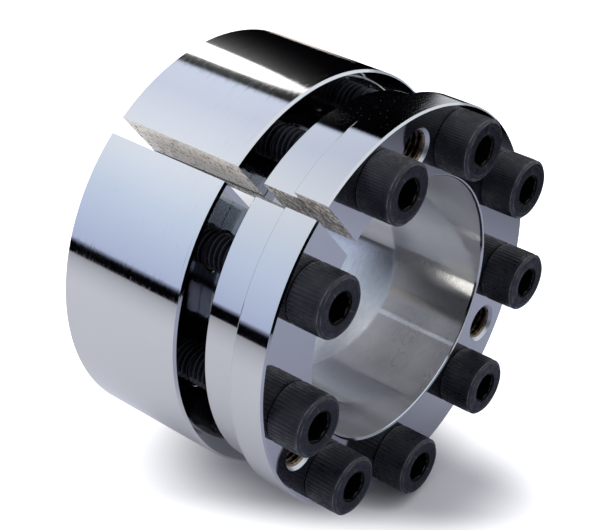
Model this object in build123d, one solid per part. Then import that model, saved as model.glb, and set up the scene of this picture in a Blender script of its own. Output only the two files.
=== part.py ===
from build123d import *
from math import cos, radians, sin, tan
import os

# Shaft locking assembly, self-centring cone type, standing on its rear end.
# Millimetres. Origin on the shaft axis at the rear face, +Z towards the screw heads.
# The saw slits of all three rings lie on the +X side.

# Inner ring: a tapered sleeve round the shaft, with the flange that carries the screw heads
shaft_diameter = 58.74
sleeve_end_wall = 1.3
cone_half_angle = 2.6
flange_thickness = 8.3
flange_rim = 0.92
bore_chamfer = 0.4
flange_chamfer = 0.4
inner_slit_width = 3.3

# Outer ring: slit, with a conical bore, drawn up the sleeve by the screws
outer_ring_length = 31.6
outer_ring_wall = 3.66
outer_ring_chamfer = 0.5
outer_slit_width = 3.9
draw_in_gap = 5.5
seated_clearance = 0.035

# Spacer ring: loose and slit, between the flange and the outer ring
spacer_thickness = 8.8
spacer_rim = 0.95
spacer_web = 0.7
spacer_chamfer = 0.3
spacer_clearance = 0.12
spacer_slit_width = 3.0

# M8 x 35 socket head cap screws
screw_count = 9
screw_diameter = 8.0
screw_length = 35.0
thread_pitch = 1.25
head_diameter = 13.27
head_height = 8.0
head_chamfer = 0.5
socket_across_flats = 6.0
socket_depth = 4.4
# How far each socket is turned about its own axis, as the screws happened to be left
socket_turns = [48, 27, 18, 45, 12, 6, 9, 9, 48]

# Holes for the screws. Tapped holes are plain bores, just clear of a screw's thread.
clearance_hole_diameter = 8.4
thread_clearance = 0.1
thread_runout = 3.0
tapped_chamfer = 0.4

# Tapped M8 jack holes in the flange, which push the rings apart again
jack_hole_count = 3

# Two turns of the screws draw the outer ring up until the cones seat
draw_in_turns = 2
draw_in_travel = draw_in_turns * thread_pitch

# Heights of the stack, from the rear face up
spacer_rear = outer_ring_length + draw_in_gap
flange_rear = spacer_rear + spacer_thickness
flange_front = flange_rear + flange_thickness
screw_tip = flange_front - screw_length
tapped_depth = outer_ring_length - screw_tip + draw_in_travel + thread_runout

# Radii, from the shaft outwards
cone_taper = tan(radians(cone_half_angle))
bore_radius = shaft_diameter / 2
cone_rear_radius = bore_radius + sleeve_end_wall
cone_length = outer_ring_length + draw_in_travel
neck_radius = cone_rear_radius + cone_length * cone_taper
cone_clearance = draw_in_travel * cone_taper + seated_clearance
screw_radius = screw_diameter / 2
head_radius = head_diameter / 2
clearance_hole_radius = clearance_hole_diameter / 2
tapped_radius = screw_radius + thread_clearance
spacer_bore_radius = neck_radius + spacer_clearance
screw_circle_radius = spacer_bore_radius + spacer_web + clearance_hole_radius
spacer_radius = screw_circle_radius + clearance_hole_radius + spacer_rim
flange_radius = screw_circle_radius + head_radius + flange_rim
outer_ring_radius = screw_circle_radius + tapped_radius + outer_ring_wall

# Angles about the shaft axis, counted from the slits, which lie midway between two screws
screw_step = 360 / screw_count
screw_angles = [screw_step * (index + 0.5) for index in range(screw_count)]
screws_per_jack_hole = screw_count // jack_hole_count
jack_angles = [screw_step * (screws_per_jack_hole * index + 2) for index in range(jack_hole_count)]

# Cutters run past the faces that they cut by this much
overshoot = 1.0


def turned(inner_line, outer_line):
    """Solid of revolution from an inner line going up and an outer line going down."""
    section = make_face(Plane.XZ * Polyline(*inner_line, *outer_line, close=True))
    return revolve(section, Axis.Z)


def chamfered_line(radius, bottom, top, chamfer):
    """Outer line of a cylinder from its top edge down, with both edges chamfered."""
    return [
        (radius - chamfer, top),
        (radius, top - chamfer),
        (radius, bottom + chamfer),
        (radius - chamfer, bottom),
    ]


def on_screw_circle(angle):
    x = screw_circle_radius * cos(radians(angle))
    y = screw_circle_radius * sin(radians(angle))
    return Pos(x, y, 0)


def plain_hole(radius, bottom, top):
    """Cutter for a hole through a ring with sharp edges."""
    outer_line = [(radius, top + overshoot), (radius, bottom - overshoot)]
    return turned([(0, bottom - overshoot), (0, top + overshoot)], outer_line)


def tapped_hole(bottom, top):
    """Cutter for a tapped hole, countersunk at its front mouth."""
    outer_line = [
        (tapped_radius + tapped_chamfer + overshoot, top + overshoot),
        (tapped_radius, top - tapped_chamfer),
        (tapped_radius, bottom),
    ]
    return turned([(0, bottom), (0, top + overshoot)], outer_line)


def saw_slit(width, radius, bottom, top):
    """Cutter for the saw slit on the +X side of a ring."""
    inside = bore_radius / 2
    outside = radius + overshoot
    height = top - bottom + 2 * overshoot
    return Pos((inside + outside) / 2, 0, (top + bottom) / 2) * Box(outside - inside, width, height)


def make_inner_ring():
    inner_line = [
        (bore_radius + bore_chamfer, 0),
        (bore_radius, bore_chamfer),
        (bore_radius, flange_front - bore_chamfer),
        (bore_radius + bore_chamfer, flange_front),
    ]
    outer_line = chamfered_line(flange_radius, flange_rear, flange_front, flange_chamfer)
    outer_line += [(neck_radius, flange_rear), (neck_radius, cone_length), (cone_rear_radius, 0)]
    ring = turned(inner_line, outer_line)
    screw_hole = plain_hole(clearance_hole_radius, flange_rear, flange_front)
    for angle in screw_angles:
        ring -= on_screw_circle(angle) * screw_hole
    jack_hole = tapped_hole(flange_rear - overshoot, flange_front)
    for angle in jack_angles:
        ring -= on_screw_circle(angle) * jack_hole
    return ring - saw_slit(inner_slit_width, flange_radius, 0, flange_front)


def make_outer_ring():
    cone_rear = cone_rear_radius + cone_clearance
    cone_front = cone_rear + outer_ring_length * cone_taper
    inner_line = [(cone_rear, 0), (cone_front, outer_ring_length)]
    outer_line = chamfered_line(outer_ring_radius, 0, outer_ring_length, outer_ring_chamfer)
    ring = turned(inner_line, outer_line)
    hole = tapped_hole(outer_ring_length - tapped_depth, outer_ring_length)
    for angle in screw_angles:
        ring -= on_screw_circle(angle) * hole
    return ring - saw_slit(outer_slit_width, outer_ring_radius, 0, outer_ring_length)


def make_spacer_ring():
    inner_line = [(spacer_bore_radius, spacer_rear), (spacer_bore_radius, flange_rear)]
    outer_line = chamfered_line(spacer_radius, spacer_rear, flange_rear, spacer_chamfer)
    ring = turned(inner_line, outer_line)
    hole = plain_hole(clearance_hole_radius, spacer_rear, flange_rear)
    for angle in screw_angles:
        ring -= on_screw_circle(angle) * hole
    return ring - saw_slit(spacer_slit_width, spacer_radius, spacer_rear, flange_rear)


def make_screw(socket_turn):
    """Socket head cap screw on the Z axis, seated on the flange face."""
    head_top = flange_front + head_height
    outer_line = [
        (head_radius - head_chamfer, head_top),
        (head_radius, head_top - head_chamfer),
        (head_radius, flange_front),
        (screw_radius, flange_front),
        (screw_radius, screw_tip),
    ]
    blank = turned([(0, screw_tip), (0, head_top)], outer_line)
    hexagon = RegularPolygon(socket_across_flats / 2, 6, major_radius=False)
    socket = Pos(0, 0, head_top - socket_depth) * extrude(hexagon, socket_depth)
    return blank - Rot(0, 0, socket_turn) * socket


os.makedirs("parts", exist_ok=True)
export_step(make_inner_ring(), "parts/inner_ring.step")
export_step(make_spacer_ring(), "parts/spacer_ring.step")
export_step(make_outer_ring(), "parts/outer_ring.step")
for index, screw_angle in enumerate(screw_angles):
    socket_turn = socket_turns[index % len(socket_turns)]
    screw = on_screw_circle(screw_angle) * make_screw(socket_turn)
    export_step(screw, f"parts/clamp_screw_{index + 1}.step")
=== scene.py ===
from math import cos, pi, radians, sin, tan

import bmesh
import bpy
from mathutils import Matrix, Vector


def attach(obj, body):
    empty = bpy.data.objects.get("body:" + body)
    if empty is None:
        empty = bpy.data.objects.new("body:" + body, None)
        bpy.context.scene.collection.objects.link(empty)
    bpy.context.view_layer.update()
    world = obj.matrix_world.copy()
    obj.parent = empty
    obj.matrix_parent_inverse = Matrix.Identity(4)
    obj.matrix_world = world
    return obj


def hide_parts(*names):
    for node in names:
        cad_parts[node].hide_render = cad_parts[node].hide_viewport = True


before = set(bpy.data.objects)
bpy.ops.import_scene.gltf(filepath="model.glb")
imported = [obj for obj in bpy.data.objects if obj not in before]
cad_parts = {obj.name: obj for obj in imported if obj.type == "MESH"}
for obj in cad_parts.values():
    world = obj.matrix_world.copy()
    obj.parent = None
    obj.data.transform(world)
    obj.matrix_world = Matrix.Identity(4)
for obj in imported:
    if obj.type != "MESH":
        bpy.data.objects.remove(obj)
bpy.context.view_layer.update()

MM = 0.001

# Sizes of the part in millimetres, as in its source
FLANGE_REAR = 45.9
FLANGE_FRONT = 54.2
BORE_RADIUS = 29.37
BORE_CHAMFER = 0.4
SLEEVE_NECK_RADIUS = 32.218
INNER_SLIT_WIDTH = 3.3
SPACER_SLIT_WIDTH = 3.0
OUTER_SLIT_WIDTH = 3.9
SCREW_COUNT = 9
SCREW_CIRCLE_RADIUS = 37.238
SCREW_TIP = 19.2
SCREW_RADIUS = 4.0
THREAD_PITCH = 1.25
HEAD_RADIUS = 6.635
HEAD_HEIGHT = 8.0
HEAD_TOP = FLANGE_FRONT + HEAD_HEIGHT
SOCKET_ACROSS_FLATS = 6.0
SOCKET_DEPTH = 4.4
SOCKET_TURNS = [48, 27, 18, 45, 12, 6, 9, 9, 48]
JACK_ANGLES = [80, 200, 320]
JACK_HOLE_RADIUS = 4.1
JACK_MOUTH_RADIUS = 4.5

# Small forms of the screws and the jack holes that the solids leave out
THREAD_ROOT_RADIUS = 3.233
THREAD_TOP = FLANGE_FRONT - 0.3
THREAD_RUNOUT = 1.6
THREAD_RUNOUT_SLOPE = 0.5
TIP_RADIUS = THREAD_ROOT_RADIUS - 0.1
NECK_RADIUS = SCREW_RADIUS + 0.2
HEAD_ROUNDING = 0.5
HEAD_DISH = 0.07
SOCKET_MOUTH_RADIUS = 3.62
SOCKET_MOUTH_ROUNDING = 0.06
SOCKET_FLOOR_RADIUS = SOCKET_ACROSS_FLATS / 2 - 0.15
SOCKET_DRILL_DEPTH = 1.3
JACK_THREAD_CREST = 3.4
# The heads are of two makes: a coarse knurl on the first six screws and a fine one on the rest
KNURL_TEETH = [48, 48, 48, 48, 48, 48, 72, 72, 72]
KNURL_DEPTHS = {48: 0.12, 72: 0.09}

# Segments round a thread, and round a screw head with its knurl
THREAD_SEGMENTS = 72
HEAD_SEGMENTS = 288

# Inputs and outputs of a mix node: its first value and its result, by the kind of value
MIX_SOCKETS = {"FLOAT": (2, 0), "VECTOR": (4, 1), "RGBA": (6, 2)}

BLACK = (0, 0, 0, 1)
WHITE = (1, 1, 1, 1)


class Surface:
    """Vertices and faces of one mesh in millimetres, with equal points shared."""

    def __init__(self):
        self.points = []
        self.faces = []
        self.known = {}

    def vertex(self, radius, angle, height):
        point = (radius * cos(angle), radius * sin(angle), height)
        key = tuple(round(value, 4) for value in point)
        if key not in self.known:
            self.known[key] = len(self.points)
            self.points.append(point)
        return self.known[key]

    def ring(self, radius_at, height_at, segments):
        """Closed ring of vertices. Radius and height are numbers or functions of the step."""
        return [
            self.vertex(
                radius_at(step) if callable(radius_at) else radius_at,
                2 * pi * step / segments,
                height_at(step) if callable(height_at) else height_at,
            )
            for step in range(segments)
        ]

    def face(self, *corners):
        """Face with its repeated corners dropped, if a face is left."""
        kept = [corner for index, corner in enumerate(corners) if corner != corners[index - 1]]
        if len(set(kept)) == len(kept) >= 3:
            self.faces.append(kept)

    def band(self, lower, upper):
        """Faces between two rings of as many vertices, or of a multiple of them in the lower."""
        count = len(upper)
        ratio = len(lower) // count
        half = ratio // 2
        for step in range(count):
            here, there = upper[step], upper[(step + 1) % count]
            run = [lower[(step * ratio + part) % len(lower)] for part in range(ratio + 1)]
            if ratio == 1:
                self.face(run[0], run[1], there, here)
                continue
            for part in range(ratio):
                self.face(run[part], run[part + 1], here if part < half else there)
            self.face(run[half], there, here)

    def cap(self, ring, height):
        """Fan or cone from a ring to one point on the axis."""
        centre = self.vertex(0, 0, height)
        for step in range(len(ring)):
            self.face(ring[step], ring[(step + 1) % len(ring)], centre)

    def thread(self, profile, radius_limits, bottom, top):
        """Helical thread between two heights. Returns its lowest and its highest ring."""
        turns = int((top - bottom) / THREAD_PITCH) + 2

        def corner(step, number):
            rise, radius = profile[number]
            height = bottom - THREAD_PITCH + THREAD_PITCH * step / THREAD_SEGMENTS + rise
            height = min(max(height, bottom), top)
            angle = 2 * pi * (step % THREAD_SEGMENTS) / THREAD_SEGMENTS
            return self.vertex(radius_limits(radius, height), angle, height)

        for step in range(turns * THREAD_SEGMENTS):
            for number in range(len(profile)):
                # The last corner of a turn joins the first one of the turn above
                across = number + 1
                turn = 0
                if across == len(profile):
                    across = 0
                    turn = THREAD_SEGMENTS
                self.face(
                    corner(step, number),
                    corner(step + 1, number),
                    corner(step + 1 + turn, across),
                    corner(step + turn, across),
                )
        lowest = self.ring(radius_limits(profile[0][1], bottom), bottom, THREAD_SEGMENTS)
        highest = self.ring(radius_limits(profile[0][1], top), top, THREAD_SEGMENTS)
        return lowest, highest

    def mesh(self, name, sharp_angle=30):
        """Blender mesh in metres, with outward normals and edges sharp from the given angle."""
        data = bpy.data.meshes.new(name)
        points = [[value * MM for value in point] for point in self.points]
        data.from_pydata(points, [], self.faces)
        form = bmesh.new()
        form.from_mesh(data)
        bmesh.ops.recalc_face_normals(form, faces=form.faces)
        form.to_mesh(data)
        form.free()
        for polygon in data.polygons:
            polygon.use_smooth = True
        data.set_sharp_from_angle(angle=radians(sharp_angle))
        return data


def thread_profile(crest, root, crest_width):
    """Corners of one 60 degree thread turn, as heights and radii."""
    flank = abs(crest - root) * tan(radians(30))
    root_width = THREAD_PITCH - crest_width - 2 * flank
    return [
        (0, root),
        (root_width, root),
        (root_width + flank, crest),
        (root_width + flank + crest_width, crest),
    ]


def screw_mesh(teeth):
    """Socket head cap screw on the Z axis with a knurled head, at its real height."""
    surface = Surface()

    def thread_limits(radius, height):
        runout = max(0, height - (THREAD_TOP - THREAD_RUNOUT))
        shallowest = THREAD_ROOT_RADIUS + runout * THREAD_RUNOUT_SLOPE
        tip_chamfer = TIP_RADIUS + (height - SCREW_TIP)
        return min(max(radius, shallowest), SCREW_RADIUS, tip_chamfer)

    profile = thread_profile(SCREW_RADIUS, THREAD_ROOT_RADIUS, THREAD_PITCH / 8)
    lowest, highest = surface.thread(profile, thread_limits, SCREW_TIP, THREAD_TOP)
    surface.cap(lowest, SCREW_TIP)

    # Outside of the head from the flange up: height above it, ridge radius and knurl depth
    knurl_depth = KNURL_DEPTHS[teeth]
    rows = [
        (0, HEAD_RADIUS - 0.45, 0),
        (0.16, HEAD_RADIUS - 0.2, 0),
        (0.4, HEAD_RADIUS - 0.1, 0.02),
        (0.65, HEAD_RADIUS, knurl_depth),
        (HEAD_HEIGHT - 1.7, HEAD_RADIUS, knurl_depth),
        (HEAD_HEIGHT - 1.3, HEAD_RADIUS - 0.07, 0.02),
        (HEAD_HEIGHT - HEAD_ROUNDING, HEAD_RADIUS - 0.07, 0),
        (HEAD_HEIGHT - 0.04, HEAD_RADIUS - 0.6, 0),
        (HEAD_HEIGHT, HEAD_RADIUS - 0.7, 0),
        (HEAD_HEIGHT, HEAD_RADIUS - 1.35, 0),
        (HEAD_HEIGHT - HEAD_DISH, HEAD_RADIUS - 1.45, 0),
    ]
    per_tooth = HEAD_SEGMENTS // teeth
    groove = [1 - abs(1 - 2 * step / per_tooth) for step in range(per_tooth)]
    rings = []
    for height, radius, depth in rows:
        radii = [radius - depth * groove[step % per_tooth] for step in range(HEAD_SEGMENTS)]
        rings.append(surface.ring(radii.__getitem__, FLANGE_FRONT + height, HEAD_SEGMENTS))
    neck = surface.ring(NECK_RADIUS, FLANGE_FRONT, THREAD_SEGMENTS)
    surface.band(highest, neck)
    surface.band(rings[0], neck)
    for lower, upper in zip(rings, rings[1:]):
        surface.band(lower, upper)

    # Socket: a cone leads into the hexagon, which ends in the cone that the drill left
    mouth_height = HEAD_TOP - HEAD_DISH
    floor_height = HEAD_TOP - SOCKET_DEPTH
    per_side = HEAD_SEGMENTS // 6

    def hexagon(step):
        off_middle = radians(60 * (step % per_side) / per_side - 30)
        return SOCKET_ACROSS_FLATS / 2 / cos(off_middle)

    def lead_in(step):
        return mouth_height - (SOCKET_MOUTH_RADIUS - hexagon(step)) / tan(radians(60))

    inward = [
        surface.ring(SOCKET_MOUTH_RADIUS + SOCKET_MOUTH_ROUNDING, mouth_height, HEAD_SEGMENTS),
        surface.ring(SOCKET_MOUTH_RADIUS, mouth_height - 0.02, HEAD_SEGMENTS),
        surface.ring(hexagon, lead_in, HEAD_SEGMENTS),
        surface.ring(hexagon, floor_height, HEAD_SEGMENTS),
        surface.ring(SOCKET_FLOOR_RADIUS, floor_height, HEAD_SEGMENTS),
    ]
    for outer, inner in zip([rings[-1]] + inward, inward):
        surface.band(outer, inner)
    surface.cap(inward[-1], floor_height - SOCKET_DRILL_DEPTH)
    return surface.mesh(f"screw_{teeth}_teeth")


def jack_thread_mesh():
    """Thread of a jack hole, on the Z axis, ending at the whole countersink of its mouth."""
    surface = Surface()
    # The mesh lies just inside the hole and its countersink
    outer = JACK_HOLE_RADIUS - 0.02
    mouth = JACK_MOUTH_RADIUS - 0.015
    countersink = JACK_MOUTH_RADIUS - outer

    def thread_limits(radius, height):
        front = mouth - (FLANGE_FRONT - height)
        if front > JACK_THREAD_CREST:
            return front
        rear = JACK_MOUTH_RADIUS - (height - FLANGE_REAR)
        return min(max(radius, rear), outer)

    corners = thread_profile(JACK_THREAD_CREST, SCREW_RADIUS, THREAD_PITCH / 4)
    corners.append((THREAD_PITCH, SCREW_RADIUS))
    profile = []
    for (rise, radius), (next_rise, next_radius) in zip(corners, corners[1:]):
        for part in range(3):
            share = part / 3
            profile.append((rise + share * (next_rise - rise), radius + share * (next_radius - radius)))
    bottom = FLANGE_REAR + countersink
    lowest, highest = surface.thread(profile, thread_limits, bottom, FLANGE_FRONT)
    wall = surface.ring(outer, FLANGE_FRONT - countersink, THREAD_SEGMENTS)
    surface.band(lowest, wall)
    surface.band(wall, highest)
    return surface.mesh("jack_thread", 40)


class Nodes:
    """Short calls that build one node tree."""

    def __init__(self, tree):
        self.tree = tree
        tree.nodes.clear()

    def add(self, kind, inputs=None, **settings):
        node = self.tree.nodes.new(kind)
        for name, value in settings.items():
            setattr(node, name, value)
        for name, value in (inputs or {}).items():
            self.put(node.inputs[name], value)
        return node

    def put(self, socket, value):
        if isinstance(value, bpy.types.NodeSocket):
            self.tree.links.new(value, socket)
        else:
            socket.default_value = value

    def math(self, operation, first, second=0.0):
        return self.add("ShaderNodeMath", {0: first, 1: second}, operation=operation).outputs[0]

    def total(self, result, *terms):
        for term in terms:
            result = self.math("ADD", result, term)
        return result

    def product(self, result, *factors):
        for factor in factors:
            result = self.math("MULTIPLY", result, factor)
        return result

    def largest(self, result, *others):
        for other in others:
            result = self.math("MAXIMUM", result, other)
        return result

    def ramp(self, value, low, high, to_low=0.0, to_high=1.0, smooth=False):
        node = self.add(
            "ShaderNodeMapRange",
            {"Value": value, "From Min": low, "From Max": high, "To Min": to_low, "To Max": to_high},
            interpolation_type="SMOOTHSTEP" if smooth else "LINEAR",
        )
        return node.outputs["Result"]

    def zone(self, strength, *limits, smooth=False):
        """Strength in a zone with soft edges, each a ramp given as a value, its start and its end."""
        ramps = [self.ramp(value, start, end, smooth=smooth) for value, start, end in limits]
        return self.product(*ramps, strength)

    def length(self, x, y):
        return self.math("SQRT", self.total(self.math("POWER", x, 2), self.math("POWER", y, 2)))

    def ellipse(self, x, x_centre, x_radius, y, y_centre, y_radius, y_power=2.0):
        """Sum of powers: 1 on an ellipse, less inside of it and more outside."""
        across = self.math("DIVIDE", self.math("SUBTRACT", x, x_centre), x_radius)
        along = self.math("DIVIDE", self.math("SUBTRACT", y, y_centre), y_radius)
        return self.total(self.math("POWER", across, 2.0), self.math("POWER", along, y_power))

    def mix(self, factor, first, second, kind="RGBA"):
        """Colour between two others, or a number or a vector where the kind says so."""
        value_input, result = MIX_SOCKETS[kind]
        inputs = {0: factor, value_input: first, value_input + 1: second}
        return self.add("ShaderNodeMix", inputs, data_type=kind).outputs[result]

    def mix_shaders(self, factor, first, second):
        return self.add("ShaderNodeMixShader", {0: factor, 1: first, 2: second}).outputs[0]

    def color_ramp(self, value, stops):
        """Colours at azimuths in degrees, for a value that runs from 0 to 1 once round."""
        node = self.add("ShaderNodeValToRGB", {"Fac": value})
        elements = node.color_ramp.elements
        while len(elements) < len(stops):
            elements.new(0.5)
        for element, (degrees, tone) in zip(elements, stops):
            element.position = (degrees + 180) / 360
            element.color = (*tone, 1)
        return node.outputs["Color"]

    def vector(self, x, y, z):
        return self.add("ShaderNodeCombineXYZ", {"X": x, "Y": y, "Z": z}).outputs[0]

    def parts(self, vector):
        return self.add("ShaderNodeSeparateXYZ", {0: vector}).outputs

    def noise(self, vector, scale, detail=2.0, roughness=0.5):
        node = self.add(
            "ShaderNodeTexNoise",
            {"Vector": vector, "Scale": scale, "Detail": detail, "Roughness": roughness},
        )
        return node.outputs["Fac"]

    def millimetres(self):
        """Object coordinates in millimetres."""
        place = self.add("ShaderNodeTexCoord").outputs["Object"]
        scaled = self.add("ShaderNodeVectorMath", {0: place}, operation="SCALE")
        scaled.inputs["Scale"].default_value = 1 / MM
        return scaled.outputs[0]

    def normal(self):
        """X, Y and Z of the object's own normal."""
        return self.parts(self.add("ShaderNodeTexCoord").outputs["Normal"])

    def bump(self, height, depth):
        """Normal of a relief whose depth is given in millimetres."""
        inputs = {"Height": height, "Distance": depth * MM, "Strength": 1.0}
        return self.add("ShaderNodeBump", inputs).outputs[0]

    def principled(self, color, metallic, roughness, normal, specular=0.5):
        inputs = {
            "Base Color": color,
            "Metallic": metallic,
            "Roughness": roughness,
            "Normal": normal,
            "Specular IOR Level": specular,
        }
        return self.add("ShaderNodeBsdfPrincipled", inputs).outputs[0]


def new_material(name):
    material = bpy.data.materials.new(name)
    material.use_nodes = True
    return material, Nodes(material.node_tree)


def finish_material(nodes, shader):
    nodes.add("ShaderNodeOutputMaterial", {"Surface": shader})


class RingPlace:
    """Where a point of a ring lies, in millimetres and radians, and where its surface faces."""

    def __init__(self, nodes):
        self.point = nodes.millimetres()
        self.x, self.y, self.z = nodes.parts(self.point)
        self.radius = nodes.length(self.x, self.y)
        # The angle is counted from -X, so that its jump falls in the slit, and it is positive
        # on the side of the top
        self.angle = nodes.math("ARCTAN2", nodes.product(self.y, -1), nodes.product(self.x, -1))
        self.normal = nodes.normal()
        # Any surface but the ring's end faces
        self.side = nodes.math("LESS_THAN", nodes.math("ABSOLUTE", self.normal[2]), 0.9)


def polished_steel(nodes, at, tint, scratches):
    """Colour, roughness and normal of steel with polishing strokes and hairs round the ring."""
    strokes = nodes.noise(nodes.vector(nodes.product(at.angle, 1.6), at.radius, at.z), 4.0, 4.0, 0.65)
    hairs = nodes.noise(nodes.vector(nodes.product(at.angle, 2.0), 0.0, at.z), 3.0)
    hairs = nodes.product(nodes.ramp(hairs, 0.56, 0.74), at.side)
    waves = nodes.noise(at.point, 0.12, 1.0)
    relief = nodes.total(
        nodes.product(strokes, 0.3),
        nodes.product(waves, 0.8),
        nodes.product(hairs, scratches),
    )
    smudges = nodes.noise(at.point, 0.05, 3.0)
    low, high = 0.56 * tint, 0.6 * tint
    color = nodes.mix(smudges, (low, low, low * 1.01, 1), (high, high, high * 1.01, 1))
    return color, nodes.ramp(smudges, 0.35, 0.65, 0.035, 0.06), nodes.bump(relief, 0.01)


def bore_color(nodes, at, arc):
    """Colour of the bore: mottled by fingers, browner on the side of the top, with painted shade in
    places.
    """
    mottle = nodes.noise(nodes.vector(nodes.product(arc, 0.6), at.z, 0.0), 0.9, 6.0)
    mottle = nodes.ramp(mottle, 0.35, 0.65)
    color = nodes.mix(mottle, (0.465, 0.469, 0.478, 1), (0.515, 0.511, 0.508, 1))
    color = nodes.mix(nodes.ramp(at.angle, 0.9, 1.5, 0.0, 0.6), color, (0.58, 0.53, 0.51, 1))
    # Painted shade, darker steel: at the front end opposite the slit, at the rear end on the side of the
    # top, in a patch between them, and in a faint band opposite the slit
    off_middle = nodes.math("ABSOLUTE", at.angle)
    painted_shade_zones = [
        nodes.zone(0.35, (at.z, 45, 54), (at.angle, 0.9, 0.5), (at.angle, -0.5, -0.25)),
        nodes.zone(0.36, (at.z, 30, 22), (at.angle, 1.5, 1.62), (at.angle, 2.5, 2.15)),
        nodes.zone(0.42, (at.z, 37, 33), (at.angle, 0.52, 0.6), (at.angle, 0.86, 0.78)),
        nodes.zone(0.27, (at.z, 33, 41), (at.z, 49, 44), (off_middle, 0.4, 0.26), smooth=True),
    ]
    for zone in painted_shade_zones:
        color = nodes.mix(zone, color, BLACK)
    return color


def sleeve_finish(nodes, at, color, roughness, normal):
    """Shader of the sleeve's steel: turned outside, and satin and hazy in the bore, with painted shade in
    it.
    """
    turned = nodes.product(nodes.math("LESS_THAN", at.radius, SLEEVE_NECK_RADIUS + 0.8), at.side)
    color = nodes.mix(turned, color, (0.52, 0.55, 0.6, 1))
    roughness = nodes.mix(turned, roughness, 0.1, "FLOAT")

    # Hatched by honing both ways, over the finer rings of the turning
    in_bore = nodes.math("LESS_THAN", at.radius, BORE_RADIUS + 0.02)
    arc = nodes.product(at.angle, BORE_RADIUS)
    rising = nodes.total(arc, at.z)
    falling = nodes.math("SUBTRACT", arc, at.z)
    lay = nodes.vector(nodes.product(rising, 0.25), nodes.product(falling, 2.5), 0.0)
    counter_lay = nodes.vector(nodes.product(falling, 0.25), nodes.product(rising, 2.5), 5.0)
    hatch = nodes.total(nodes.noise(lay, 1.0, 3.0), nodes.noise(counter_lay, 1.0, 3.0))
    ring_place = nodes.vector(nodes.product(at.angle, 1.6), at.radius, nodes.product(at.z, 3.0))
    relief = nodes.total(hatch, nodes.product(nodes.noise(ring_place, 1.0, 2.0), 0.7))
    normal = nodes.mix(in_bore, normal, nodes.bump(relief, 0.0013), "VECTOR")
    roughness = nodes.mix(in_bore, roughness, nodes.ramp(hatch, 0.7, 1.3, 0.028, 0.055), "FLOAT")
    color = nodes.mix(in_bore, color, bore_color(nodes, at, arc))

    # The chamfer at the bore's front end. Its outer half is painted darker as painted shade, and on the
    # far part all of it.
    at_front = nodes.math("GREATER_THAN", at.z, FLANGE_FRONT - BORE_CHAMFER - 0.05)
    slanted = nodes.product(nodes.math("GREATER_THAN", at.normal[2], 0.4), at.side)
    near_bore = nodes.math("LESS_THAN", at.radius, BORE_RADIUS + BORE_CHAMFER + 0.05)
    chamfer = nodes.product(at_front, slanted, near_bore)
    outer_half = nodes.math("GREATER_THAN", at.radius, BORE_RADIUS + 0.4 * BORE_CHAMFER)
    far_part = nodes.zone(1.0, (at.angle, -1.35, -1.2), (at.angle, -0.7, -0.85))
    dull = nodes.product(chamfer, nodes.largest(outer_half, far_part))
    # Painted shade: the chamfer's steel is darkened here
    color = nodes.mix(dull, color, (0.17, 0.18, 0.2, 1))
    # On the side of the top that half is satin, and a thin dark line of painted shade, standing in for an
    # unlit edge, runs inside of it
    satin_edge = nodes.product(chamfer, outer_half, nodes.ramp(at.angle, 0.05, 0.12))
    lip = nodes.product(in_bore, nodes.math("GREATER_THAN", at.z, FLANGE_FRONT - 0.75))
    inner_half = nodes.product(chamfer, nodes.math("SUBTRACT", 1.0, outer_half))
    painted_edge_shade = nodes.zone(1.0, (at.angle, 0.36, 0.42), (at.angle, 0.68, 0.64))
    painted_edge_shade = nodes.largest(painted_edge_shade, nodes.ramp(at.angle, 0.9, 0.97))
    painted_edge_shade = nodes.product(painted_edge_shade, nodes.largest(lip, inner_half))
    color = nodes.mix(painted_edge_shade, color, (0.03, 0.03, 0.035, 1))

    # The bore is hazier on the side of the top, and a little at the front end of either side
    haze = nodes.total(
        nodes.ramp(at.angle, 0.5, 1.15, 0.13, 0.5, smooth=True),
        nodes.zone(0.28, (at.angle, -0.42, -0.66), (at.z, 42, 48)),
        nodes.zone(0.2, (at.angle, 0.7, 0.9), (at.z, 44, 51)),
    )
    haze = nodes.product(haze, in_bore, nodes.math("SUBTRACT", 1.0, painted_edge_shade))
    haze = nodes.largest(haze, satin_edge)
    clear_steel = nodes.principled(color, 1.0, roughness, normal)
    hazy_steel = nodes.principled((0.82, 0.81, 0.81, 1), 1.0, 0.55, normal)
    return nodes.mix_shaders(haze, clear_steel, hazy_steel)


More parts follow.
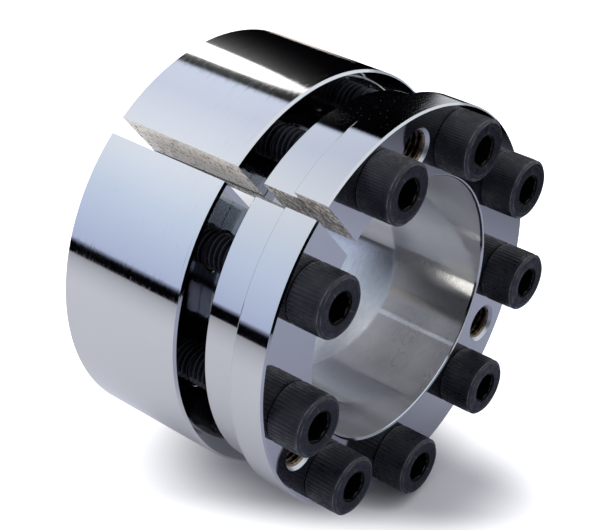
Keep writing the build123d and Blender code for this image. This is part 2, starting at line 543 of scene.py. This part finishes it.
def steel_material(name, tint, scratches, slit_width, wall_shade, is_sleeve=False):
    """Steel of a ring: polished, with sawn slit walls. The sleeve has a satin bore as well."""
    material, nodes = new_material(name)
    at = RingPlace(nodes)
    color, roughness, normal = polished_steel(nodes, at, tint, scratches)
    if is_sleeve:
        polished = sleeve_finish(nodes, at, color, roughness, normal)
    else:
        polished = nodes.principled(color, 1.0, roughness, normal)

    # Sawn walls: bright matt steel with slanting streaks of the blade, paler at the ring's outside
    facing_slit = nodes.math("GREATER_THAN", nodes.math("ABSOLUTE", at.normal[1]), 0.97)
    near_slit = nodes.math("LESS_THAN", nodes.math("ABSOLUTE", at.y), slit_width / 2 + 0.1)
    slit_side = nodes.math("GREATER_THAN", at.x, 0.0)
    sawn = nodes.product(facing_slit, near_slit, slit_side)
    streak_place = nodes.vector(
        nodes.product(nodes.total(at.z, nodes.product(at.x, 0.3)), 1.5),
        nodes.product(nodes.math("SUBTRACT", at.x, nodes.product(at.z, 0.3)), 0.5),
        at.y,
    )
    streaks = nodes.noise(streak_place, 1.0, 3.0, 0.6)
    grain = nodes.noise(at.point, 1.8, 3.0, 0.6)
    rough = nodes.total(nodes.product(streaks, 0.6), nodes.product(grain, 0.4))
    light = nodes.ramp(rough, wall_shade, wall_shade + 0.08)
    wall_color = nodes.mix(light, (0.2, 0.16, 0.13, 1), (1.0, 0.97, 0.92, 1))
    pale = nodes.ramp(at.radius, 42.5, 44.5, 0.0, 0.5)
    wall_color = nodes.mix(pale, wall_color, (1.0, 0.99, 0.97, 1))
    wall = nodes.principled(wall_color, 0.0, 0.4, nodes.bump(rough, 0.2))
    finish_material(nodes, nodes.mix_shaders(sawn, polished, wall))
    return material


def black_material():
    """Blackened steel of the screws: satin, slightly mottled, brighter on edges from wear and painted
    highlights.
    """
    material, nodes = new_material("black_oxide")
    place = nodes.millimetres()
    x, y, z = nodes.parts(place)
    radius = nodes.length(x, y)
    mottle = nodes.ramp(nodes.noise(place, 1.2, 4.0, 0.6), 0.3, 0.7)
    grain = nodes.noise(place, 7.0, 4.0, 0.7)
    color = nodes.mix(mottle, (0.0012, 0.0016, 0.006, 1), (0.006, 0.0065, 0.0125, 1))
    rust = nodes.ramp(nodes.noise(place, 0.45), 0.52, 0.7, 0.0, 0.5)
    color = nodes.mix(rust, color, (0.011, 0.007, 0.009, 1))
    color = nodes.mix(nodes.ramp(grain, 0.6, 0.72), color, (0.03, 0.03, 0.034, 1))
    # Convex edges are lighter: partly wear, partly a painted highlight
    worn_and_highlit = nodes.ramp(nodes.add("ShaderNodeNewGeometry").outputs["Pointiness"], 0.52, 0.6)
    color = nodes.mix(worn_and_highlit, color, (0.05, 0.05, 0.06, 1))
    # The socket is painted near black: painted shade in its recess
    above_flange = nodes.math("GREATER_THAN", z, FLANGE_FRONT)
    socket_radius = SOCKET_MOUTH_RADIUS - SOCKET_MOUTH_ROUNDING
    in_socket = nodes.product(nodes.math("LESS_THAN", radius, socket_radius), above_flange)
    color = nodes.mix(in_socket, color, (0.001, 0.001, 0.001, 1))
    # Rubbed edges of the head's rounding, partly wear and partly a painted highlight: a line round its
    # side and one round its end
    below_top = nodes.math("SUBTRACT", HEAD_TOP, z)
    outer_edge = nodes.math("COMPARE", below_top, HEAD_ROUNDING)
    inner_edge = nodes.math("COMPARE", radius, HEAD_RADIUS - 0.64)
    for edge_line in (outer_edge, inner_edge):
        # How far from its middle the line reaches
        edge_line.node.inputs[2].default_value = 0.07
    on_head_end = nodes.math("LESS_THAN", below_top, HEAD_ROUNDING + 0.1)
    inner_edge = nodes.product(inner_edge, nodes.math("LESS_THAN", below_top, 0.06))
    rubbed_and_highlit = nodes.product(nodes.largest(outer_edge, inner_edge), on_head_end)
    rubbed_and_highlit = nodes.product(rubbed_and_highlit, nodes.ramp(nodes.noise(place, 0.7), 0.4, 0.62))
    color = nodes.mix(rubbed_and_highlit, color, (0.09, 0.095, 0.105, 1))
    # The heads' ends are duller than their sides, and so are the sockets and the threads in the gap
    facing_up = nodes.math("GREATER_THAN", nodes.normal()[2], 0.9)
    dull = nodes.largest(
        nodes.product(facing_up, on_head_end, 0.4),
        nodes.ramp(z, FLANGE_REAR, FLANGE_REAR + 0.1, 0.65, 0.0),
        in_socket,
    )
    roughness = nodes.ramp(nodes.noise(place, 0.6, 3.0), 0.36, 0.64, 0.2, 0.52)
    normal = nodes.bump(grain, 0.05)
    glossy, matt = [nodes.principled(color, 0.0, roughness, normal, specular) for specular in (0.3, 0.04)]
    finish_material(nodes, nodes.mix_shaders(dull, glossy, matt))
    return material


def thread_material():
    """Cut thread of the jack holes: oily brownish steel, with a clean countersink."""
    material, nodes = new_material("jack_thread_steel")
    place = nodes.millimetres()
    x, y, z = nodes.parts(place)
    radius = nodes.length(x, y)
    off_cone = nodes.math("SUBTRACT", nodes.math("SUBTRACT", radius, z), JACK_MOUTH_RADIUS - FLANGE_FRONT)
    countersunk = nodes.product(
        nodes.math("LESS_THAN", nodes.math("ABSOLUTE", off_cone), 0.05),
        nodes.math("GREATER_THAN", radius, JACK_HOLE_RADIUS - 0.25),
    )
    stain = nodes.noise(place, 0.9, 3.0)
    cut = nodes.mix(nodes.ramp(stain, 0.35, 0.65), (0.06, 0.042, 0.03, 1), (0.24, 0.18, 0.12, 1))
    color = nodes.mix(countersunk, cut, (0.5, 0.51, 0.53, 1))
    roughness = nodes.mix(countersunk, nodes.ramp(stain, 0.3, 0.7, 0.25, 0.4), 0.34, "FLOAT")
    normal = nodes.bump(nodes.noise(place, 6.0), 0.03)
    finish_material(nodes, nodes.principled(color, 1.0, roughness, normal))
    return material


def add_piece(name, data, body, material, angle, turn=0.0):
    """Object on the screw circle, riding a body."""
    if not data.materials:
        data.materials.append(material)
    piece = bpy.data.objects.new(name, data)
    bpy.context.scene.collection.objects.link(piece)
    x = SCREW_CIRCLE_RADIUS * MM * cos(radians(angle))
    y = SCREW_CIRCLE_RADIUS * MM * sin(radians(angle))
    piece.location = (x, y, 0)
    piece.rotation_euler = (0, 0, radians(turn))
    bpy.context.view_layer.update()
    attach(piece, body)
    return piece


# The rings keep their CAD solids and get their steel
finishes = {
    "inner_ring": steel_material("sleeve_polished", 0.95, 0.0, INNER_SLIT_WIDTH, 0.485, is_sleeve=True),
    "spacer_ring": steel_material("spacer_polished", 0.95, 0.0, SPACER_SLIT_WIDTH, 0.48),
    "outer_ring": steel_material("outer_polished", 1.0, 0.5, OUTER_SLIT_WIDTH, 0.41),
}
for name, material in finishes.items():
    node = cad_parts[name]
    if not node.material_slots:
        node.data.materials.append(material)
    for material_slot in node.material_slots:
        material_slot.material = material

# The screws with their knurled heads, sockets and threads
black = black_material()
screw_data = {teeth: screw_mesh(teeth) for teeth in sorted(set(KNURL_TEETH))}
for index in range(SCREW_COUNT):
    number = index + 1
    angle = 360 / SCREW_COUNT * (index + 0.5)
    data = screw_data[KNURL_TEETH[index]]
    turn = SOCKET_TURNS[index]
    screw = add_piece(f"screw_detail_{number}", data, f"screw_{number}", black, angle, turn)
    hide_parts(f"clamp_screw_{number}")

# The threads of the jack holes, each turned a little further than the last
brown = thread_material()
jack_data = jack_thread_mesh()
for number, angle in enumerate(JACK_ANGLES, 1):
    add_piece(f"jack_thread_{number}", jack_data, "sleeve", brown, angle, 15 * number)


# Stage: the part stands on its end in the frame but lies on its side in the photograph,
# so the floor is a plane along the rings' outer line, and shows only from the object's side
FLOOR_NORMAL = Vector((0.803, -0.596, 0)).normalized()
FLOOR_LEVEL = -0.045
# How far the floor sheet reaches from the contact line, across and along the axis, in metres
FLOOR_NEAR = 0.42
FLOOR_FAR = 0.3
FLOOR_FRONT = 0.6
FLOOR_REAR = 0.7


def floor_material():
    """White paper. Its shadow ends softly round the part, and before the flange it is painted greyer, as
    shade that the part reflects.
    """
    material, nodes = new_material("floor_paper")
    # The sheet's own Y runs along the object's axis, and its X towards the camera
    x, y, z = nodes.parts(nodes.millimetres())
    seen = nodes.add("ShaderNodeLightPath").outputs["Is Camera Ray"]

    # What the part reflects: the paper's tone along the axis, on the far side and behind the rear end,
    # with painted shade: darker and bluer before the flange, and black in a band behind the rear end
    tone = nodes.mix(nodes.ramp(y, 35, 70, smooth=True), (0.88, 0.9, 1.0, 1), (0.5, 0.53, 0.69, 1))
    far_side = nodes.product(nodes.ramp(x, -100, -130, smooth=True), nodes.ramp(y, 0, -40))
    tone = nodes.mix(far_side, tone, (0.8, 0.72, 0.66, 1))
    slanting = nodes.math("SUBTRACT", y, nodes.product(x, 0.6))
    tone = nodes.mix(nodes.zone(1.0, (slanting, -8, 14), (x, -70, -150)), tone, BLACK)

    # The soft shadow under the part
    corner = nodes.total(y, nodes.product(x, 1.5))
    sides = ((x, 56, 18), (corner, 102, 72), (x, -30, -8), (y, 98, 68), (y, -14, 26))
    shade = nodes.zone(1.0, *sides, smooth=True)
    # In it the paper is darker, and farther from the part towards the camera as well
    light = nodes.product(nodes.ramp(x, 150, 420, 1.0, 0.5), nodes.ramp(shade, 0, 1, 1.0, 0.68))
    tone = nodes.mix(light, BLACK, tone)
    # The camera sees it plain, but for a painted contact shadow where the flange all but touches the
    # paper
    painted_contact_shadow = nodes.ramp(nodes.ellipse(x, 5, 9, y, 54, 9), 1.0, 0.1, 0.0, 0.55)
    tone = nodes.mix(seen, tone, nodes.mix(painted_contact_shadow, (0.585, 0.592, 0.645, 1), BLACK))
    # The part's shadow runs on behind it, and shows through the slits
    slope, cross_slope = nodes.total(x, y), nodes.math("SUBTRACT", x, y)
    behind = nodes.ellipse(slope, -72, 85, cross_slope, -18, 42)
    shade = nodes.largest(shade, nodes.ramp(behind, 1.0, 0.2, 0.0, 0.88, smooth=True))

    bright = nodes.product(nodes.math("SUBTRACT", 1.0, shade), seen)
    glow = nodes.add("ShaderNodeEmission", {"Color": WHITE, "Strength": bright})
    paper = nodes.add("ShaderNodeBsdfDiffuse", {"Color": tone, "Roughness": 0.0})
    lit = nodes.add("ShaderNodeAddShader", {0: glow.outputs[0], 1: paper.outputs[0]})
    clear = nodes.add("ShaderNodeBsdfTransparent")
    from_behind = nodes.add("ShaderNodeNewGeometry").outputs["Backfacing"]
    finish_material(nodes, nodes.mix_shaders(from_behind, lit.outputs[0], clear.outputs[0]))
    return material


floor_data = bpy.data.meshes.new("floor")
floor_corners = [
    (-FLOOR_FAR, -FLOOR_REAR, 0),
    (FLOOR_NEAR, -FLOOR_REAR, 0),
    (FLOOR_NEAR, FLOOR_FRONT, 0),
    (-FLOOR_FAR, FLOOR_FRONT, 0),
]
floor_data.from_pydata(floor_corners, [], [(0, 1, 2, 3)])
floor_data.materials.append(floor_material())
floor = bpy.data.objects.new("floor", floor_data)
bpy.context.scene.collection.objects.link(floor)
axis = Vector((0, 0, 1))
floor_axes = Matrix((axis.cross(FLOOR_NORMAL), axis, FLOOR_NORMAL)).transposed()
floor.matrix_world = Matrix.Translation(FLOOR_NORMAL * FLOOR_LEVEL) @ floor_axes.to_4x4()


def studio_color(nodes):
    """Colour of the studio that polished steel reflects, by azimuth in degrees and by height."""
    x, y, z = nodes.parts(nodes.add("ShaderNodeTexCoord").outputs["Generated"])
    azimuth = nodes.product(nodes.math("ARCTAN2", y, x), 180 / pi)
    turn = nodes.ramp(azimuth, -180, 180)

    # Low down: grey on one side, a softbox on the other and darkness between them
    dark = (0.0008, 0.0008, 0.0012)
    grey = (0.3, 0.31, 0.35)
    low_stops = [
        (-180, grey),
        (-172, (0.25, 0.26, 0.3)),
        (-160, dark),
        (-70, dark),
        (-68.5, (0.64, 0.7, 0.84)),
        (-50, (0.62, 0.67, 0.8)),
        (-15, (0.78, 0.82, 0.88)),
        (20, (0.56, 0.65, 0.8)),
        (54, (0.42, 0.48, 0.67)),
        (55.3, dark),
        (68, dark),
        (90, grey),
        (180, grey),
    ]
    studio = nodes.color_ramp(turn, low_stops)
    # The softbox is weaker towards its upper end
    low_side = nodes.total(nodes.ramp(azimuth, 3, -5, 0.0, 0.3), nodes.ramp(azimuth, -5, -55, 0.0, 0.3))
    weaker_zones = [
        nodes.zone(0.13, (z, -0.6, -0.51), (azimuth, 30, 0)),
        nodes.zone(0.92, (z, -0.514, -0.496), (azimuth, -10, 45)),
        nodes.zone(low_side, (z, -0.512, -0.507), (z, -0.488, -0.495)),
        nodes.zone(0.5, (z, -0.5, -0.49), (z, -0.458, -0.47), (azimuth, -45, -68)),
    ]
    for zone in weaker_zones:
        studio = nodes.mix(zone, studio, BLACK)
    # Behind the part the studio is grey from a little below the horizon up
    behind = nodes.zone(1.0, (azimuth, -178, -165), (z, -0.42, -0.3))
    behind = nodes.product(behind, nodes.math("LESS_THAN", azimuth, -69))
    studio = nodes.mix(behind, studio, (0.34, 0.37, 0.43, 1))

    # High up the studio is light, but for a dark ceiling over the slits, which starts higher
    high_stops = [
        (-18, (0.7, 0.74, 0.8)),
        (-14, dark),
        (62, dark),
        (73, (0.5, 0.57, 0.68)),
    ]
    ceiling = nodes.product(
        nodes.math("GREATER_THAN", azimuth, -16),
        nodes.math("LESS_THAN", azimuth, 67),
    )
    start = nodes.ramp(ceiling, 0, 1, 0.1, 0.58)
    high = nodes.ramp(z, start, nodes.total(start, 0.06))
    studio = nodes.mix(high, studio, nodes.color_ramp(turn, high_stops))

    # A round lamp beside the softbox, low behind the part, with a glow about it
    centre = nodes.ramp(z, -0.626, -0.575, -85.0, -82.7)
    half_width = 7.3
    squares = nodes.ellipse(azimuth, centre, half_width, z, -0.632, 0.064)
    lamp = nodes.ramp(nodes.math("SQRT", squares), 1.06, 0.96)
    off_centre = nodes.math("ABSOLUTE", nodes.math("SUBTRACT", azimuth, centre))
    off_lamp = nodes.math("SUBTRACT", nodes.math("DIVIDE", off_centre, half_width), 1.0)
    halo = nodes.product(
        nodes.math("POWER", 0.39, nodes.largest(off_lamp, 0.0)),
        nodes.ramp(z, -0.55, -0.625, smooth=True),
        0.21,
        nodes.math("LESS_THAN", azimuth, -69.5),
        nodes.ramp(azimuth, -80, -72, 1.0, 0.4),
    )
    halo_color = nodes.vector(halo, halo, halo)
    glow = nodes.add("ShaderNodeVectorMath", {0: studio, 1: halo_color}, operation="ADD").outputs[0]
    studio = nodes.mix(lamp, glow, (1.9, 1.9, 1.85, 1))

    # What only the bore reflects: first a pale field round a second lamp
    off_field = nodes.math("ABSOLUTE", nodes.total(azimuth, 77.0))
    field = nodes.ramp(off_field, 34, 16, smooth=True)
    field = nodes.product(field, nodes.ramp(z, -0.466, -0.459), nodes.ramp(z, -0.38, -0.4))
    studio = nodes.mix(field, studio, (0.72, 0.72, 0.69, 1))
    # Then a strip under the field, where the studio lightens slowly
    slanting = nodes.total(z, nodes.product(nodes.total(azimuth, 112.0), 0.0005))
    strip_limits = (
        (slanting, -0.472, -0.495),
        (z, -0.505, -0.498),
        (azimuth, -88, -100),
        (azimuth, -170, -155),
    )
    studio = nodes.mix(nodes.zone(1.0, *strip_limits), studio, (0.38, 0.395, 0.42, 1))
    # And that lamp, which is warmer
    centre = nodes.ramp(z, -0.457, -0.437, -86.0, -91.0)
    powers = nodes.ellipse(azimuth, centre, 10.5, z, -0.4235, 0.0335, y_power=4.0)
    return nodes.mix(nodes.ramp(powers, 1.15, 0.85), studio, (4.0, 3.9, 3.6, 1))


def studio_world():
    """Plain light for matt surfaces, and a studio with a softbox for what is polished."""
    world = bpy.data.worlds.new("studio")
    bpy.context.scene.world = world
    world.use_nodes = True
    world.cycles.sampling_method = "NONE"
    nodes = Nodes(world.node_tree)
    glossy = nodes.add("ShaderNodeBackground", {"Color": studio_color(nodes), "Strength": 1.6})
    plain = nodes.add("ShaderNodeBackground", {"Color": WHITE, "Strength": 1.0})
    reflected = nodes.add("ShaderNodeLightPath").outputs["Is Glossy Ray"]
    shader = nodes.mix_shaders(reflected, plain.outputs[0], glossy.outputs[0])
    nodes.add("ShaderNodeOutputWorld", {"Surface": shader})


studio_world()

# Camera at the photograph's angle
camera_data = bpy.data.cameras.new("camera")
camera_data.lens = 94.574
camera_data.sensor_width = 36
camera_data.clip_start = 0.01
camera = bpy.data.objects.new("camera", camera_data)
bpy.context.scene.collection.objects.link(camera)
camera_place = (0.28269, 0.06461, 0.21054)
camera_right = Vector((-0.38255, -0.51452, 0.76741))
camera_up = Vector((0.41889, -0.83691, -0.35231))
camera_back = Vector((0.82352, 0.18669, 0.53569))
camera_axes = Matrix((camera_right, camera_up, camera_back)).transposed()
camera.matrix_world = Matrix.Translation(camera_place) @ camera_axes.to_4x4()
bpy.context.scene.camera = camera
bpy.context.scene.view_settings.view_transform = "Standard"

bpy.context.view_layer.update()
